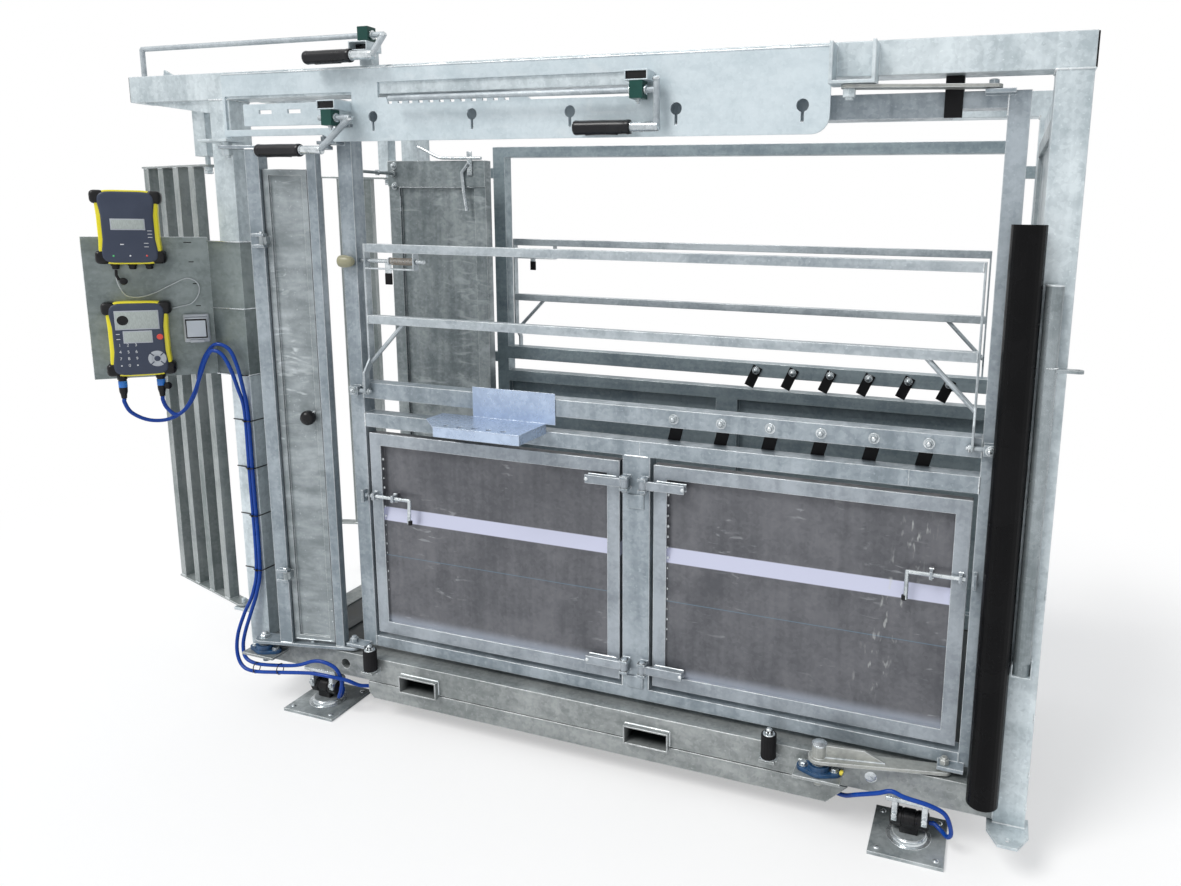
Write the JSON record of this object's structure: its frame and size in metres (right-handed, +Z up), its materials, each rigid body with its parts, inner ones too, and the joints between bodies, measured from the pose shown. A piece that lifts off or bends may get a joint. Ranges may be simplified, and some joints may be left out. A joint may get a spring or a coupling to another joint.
{
  "type": "cattle crush",
  "caption": "Walk-in cattle crush: a galvanised steel cage on weigh feet with a swinging squeeze wall, folding rail gates, side doors, head-end wings and a rear gate.",
  "frame": {"origin": "centre of the whole crush's box, on the floor, at the underside of the four foot plates", "axes": "+X from the head end to the rear end, +Y from the operator's near side to the far side, +Z up"},
  "size_m": [3.1012, 1.3676, 2.2003],
  "materials": {
    "zinc": "hot-dip galvanised, satin with a faint spangle",
    "zinc_dark": "galvanised sheet, dull grey",
    "black_rubber": "matt black rubber",
    "black_plastic": "black plastic pipe, satin",
    "green_plastic": "dark green moulded plastic",
    "blue_casting": "dark blue enamel on cast iron",
    "blue_cable": "blue sheath, semi-gloss",
    "grey_case": "moulded instrument case",
    "light_grey": "light grey moulding",
    "spring_steel": "plain spring wire",
    "deck": "dark non-slip floor"
  },
  "bodies": {
    "frame": {"base_frame": "zinc", "floor_deck": "deck", "gantry_near": "zinc", "gantry_far": "zinc", "top_plate": "zinc", "bush_rack": "green_plastic", "bush_low": "green_plastic", "bush_top": "green_plastic", "foot_plate_front_far": "zinc_dark", "foot_plate_front_near": "zinc_dark", "foot_plate_rear_far": "zinc_dark", "foot_plate_rear_near": "zinc_dark", "load_cell_front_far": "black_rubber", "load_cell_front_near": "black_rubber", "load_cell_rear_far": "black_rubber", "load_cell_rear_near": "black_rubber", "bearing_front": "blue_casting", "bearing_rear": "blue_casting", "bumper_front": "black_rubber", "bumper_rear": "black_rubber", "unit_panel": "zinc_dark", "reader_unit": "grey_case", "scale_unit": "grey_case", "socket_box": "light_grey", "cable_front": "blue_cable", "cable_rear": "blue_cable", "reader_lead": "light_grey", "post_sleeve": "black_plastic", "wall_far": "zinc_dark"},
    "rear_arm": {"link_upper": "zinc", "arm_lower": "zinc"},
    "near_wall": {"wall_near": "zinc", "guide_pad": "black_rubber", "tray": "zinc", "strap_1": "black_rubber", "strap_2": "black_rubber", "strap_3": "black_rubber", "strap_4": "black_rubber", "strap_5": "black_rubber", "strap_6": "black_rubber"},
    "front_arm": {"arm_front": "zinc"},
    "neck_door": {"neck_door": "zinc_dark"},
    "door_front": {"door_front": "zinc"},
    "door_rear": {"door_rear": "zinc"},
    "latch_front": {"latch_front": "zinc"},
    "latch_rear": {"latch_rear": "zinc"},
    "rail_gate_near": {"rail_gate_near": "zinc"},
    "gate_latch_near": {"gate_latch_near": "zinc", "gate_spring": "spring_steel"},
    "rail_gate_far": {"rail_gate_far": "zinc"},
    "gate_latch_far": {"gate_latch_far": "zinc"},
    "rack_handle": {"rack_rod": "zinc"},
    "low_handle": {"low_rod": "zinc"},
    "top_handle": {"top_rod": "zinc"},
    "lever": {"lever_pipe": "zinc"},
    "rear_gate": {"rear_gate": "zinc"},
    "wing_near": {"wing_near": "zinc"},
    "wing_far": {"wing_far": "zinc"},
    "neck_far": {"neck_far": "zinc_dark"}
  },
  "joints": [
    {"name": "squeeze", "type": "hinge", "parent": "frame", "child": "rear_arm", "pos_m": [0.9816, -0.45617, 0.12], "axis": [0, 0, 1], "range_deg": [0, 45]},
    {"name": "wall_swing", "type": "hinge", "parent": "rear_arm", "child": "near_wall", "pos_m": [1.30608, -0.39603, 0.12], "axis": [0, 0, 1], "range_deg": [-45, 0]},
    {"name": "neck_arm", "type": "hinge", "parent": "frame", "child": "front_arm", "pos_m": [-0.9384, -0.45617, 0.12], "axis": [0, 0, 1], "range_deg": [0, 45]},
    {"name": "neck_door_hinge", "type": "hinge", "parent": "front_arm", "child": "neck_door", "pos_m": [-0.81479, -0.46733, 0.12], "axis": [0, 0, -1], "range_deg": [0, 100]},
    {"name": "door_front_hinge", "type": "hinge", "parent": "near_wall", "child": "door_front", "pos_m": [0.3756, -0.39517, 0.6355], "axis": [0, 0, -1], "range_deg": [-90, 0]},
    {"name": "door_rear_hinge", "type": "hinge", "parent": "near_wall", "child": "door_rear", "pos_m": [0.4326, -0.39517, 0.6355], "axis": [0, 0, 1], "range_deg": [-90, 0]},
    {"name": "latch_front_slide", "type": "slide", "parent": "door_front", "child": "latch_front", "axis": [-1, 0, 0], "range_m": [0, 0.028]},
    {"name": "latch_rear_slide", "type": "slide", "parent": "door_rear", "child": "latch_rear", "axis": [1, 0, 0], "range_m": [0, 0.028]},
    {"name": "rail_gate_near_fold", "type": "hinge", "parent": "near_wall", "child": "rail_gate_near", "pos_m": [-0.5184, -0.38817, 1.1175], "axis": [1, 0, 0], "range_deg": [0, 160]},
    {"name": "gate_latch_near_slide", "type": "slide", "parent": "rail_gate_near", "child": "gate_latch_near", "axis": [1, 0, 0], "range_m": [0, 0.018], "stiffness_N_per_m": 600, "springref_m": -0.02, "deforming": ["gate_spring"]},
    {"name": "rail_gate_far_fold", "type": "hinge", "parent": "frame", "child": "rail_gate_far", "pos_m": [-0.5184, 0.56583, 1.1175], "axis": [-1, 0, 0], "range_deg": [0, 160]},
    {"name": "gate_latch_far_slide", "type": "slide", "parent": "rail_gate_far", "child": "gate_latch_far", "axis": [1, 0, 0], "range_m": [0, 0.018], "stiffness_N_per_m": 600, "springref_m": -0.02},
    {"name": "rack_handle_turn", "type": "hinge", "parent": "frame", "child": "rack_handle", "pos_m": [0.4416, -0.46117, 1.9932], "axis": [-1, 0, 0], "range_deg": [0, 50]},
    {"name": "low_handle_turn", "type": "hinge", "parent": "frame", "child": "low_handle", "pos_m": [-0.5184, -0.47917, 1.9422], "axis": [-1, 0, 0], "range_deg": [0, 90]},
    {"name": "top_handle_turn", "type": "hinge", "parent": "frame", "child": "top_handle", "pos_m": [-0.4334, -0.40917, 2.1783], "axis": [-1, 0, 0], "range_deg": [0, 90]},
    {"name": "lever_lift", "type": "slide", "parent": "frame", "child": "lever", "axis": [0, 0, 1], "range_m": [0, 0.5]},
    {"name": "rear_gate_hinge", "type": "hinge", "parent": "frame", "child": "rear_gate", "pos_m": [1.4536, 0.49883, 0.12], "axis": [0, 0, 1], "range_deg": [0, 90]},
    {"name": "wing_near_hinge", "type": "hinge", "parent": "frame", "child": "wing_near", "pos_m": [-1.1234, -0.36117, 0.12], "axis": [0, 0, 1], "range_deg": [-55, 15]},
    {"name": "wing_far_hinge", "type": "hinge", "parent": "frame", "child": "wing_far", "pos_m": [-1.1234, 0.53883, 0.12], "axis": [0, 0, 1], "range_deg": [-15, 55]},
    {"name": "neck_far_hinge", "type": "hinge", "parent": "frame", "child": "neck_far", "pos_m": [-0.9834, 0.49283, 0.12], "axis": [0, 0, -1], "range_deg": [0, 30]}
  ],
  "couplings": [
    {"joint": "wall_swing", "follows": "squeeze", "ratio": -1},
    {"joint": "neck_arm", "follows": "squeeze", "ratio": 1},
    {"joint": "wing_far_hinge", "follows": "wing_near_hinge", "ratio": -1}
  ]
}
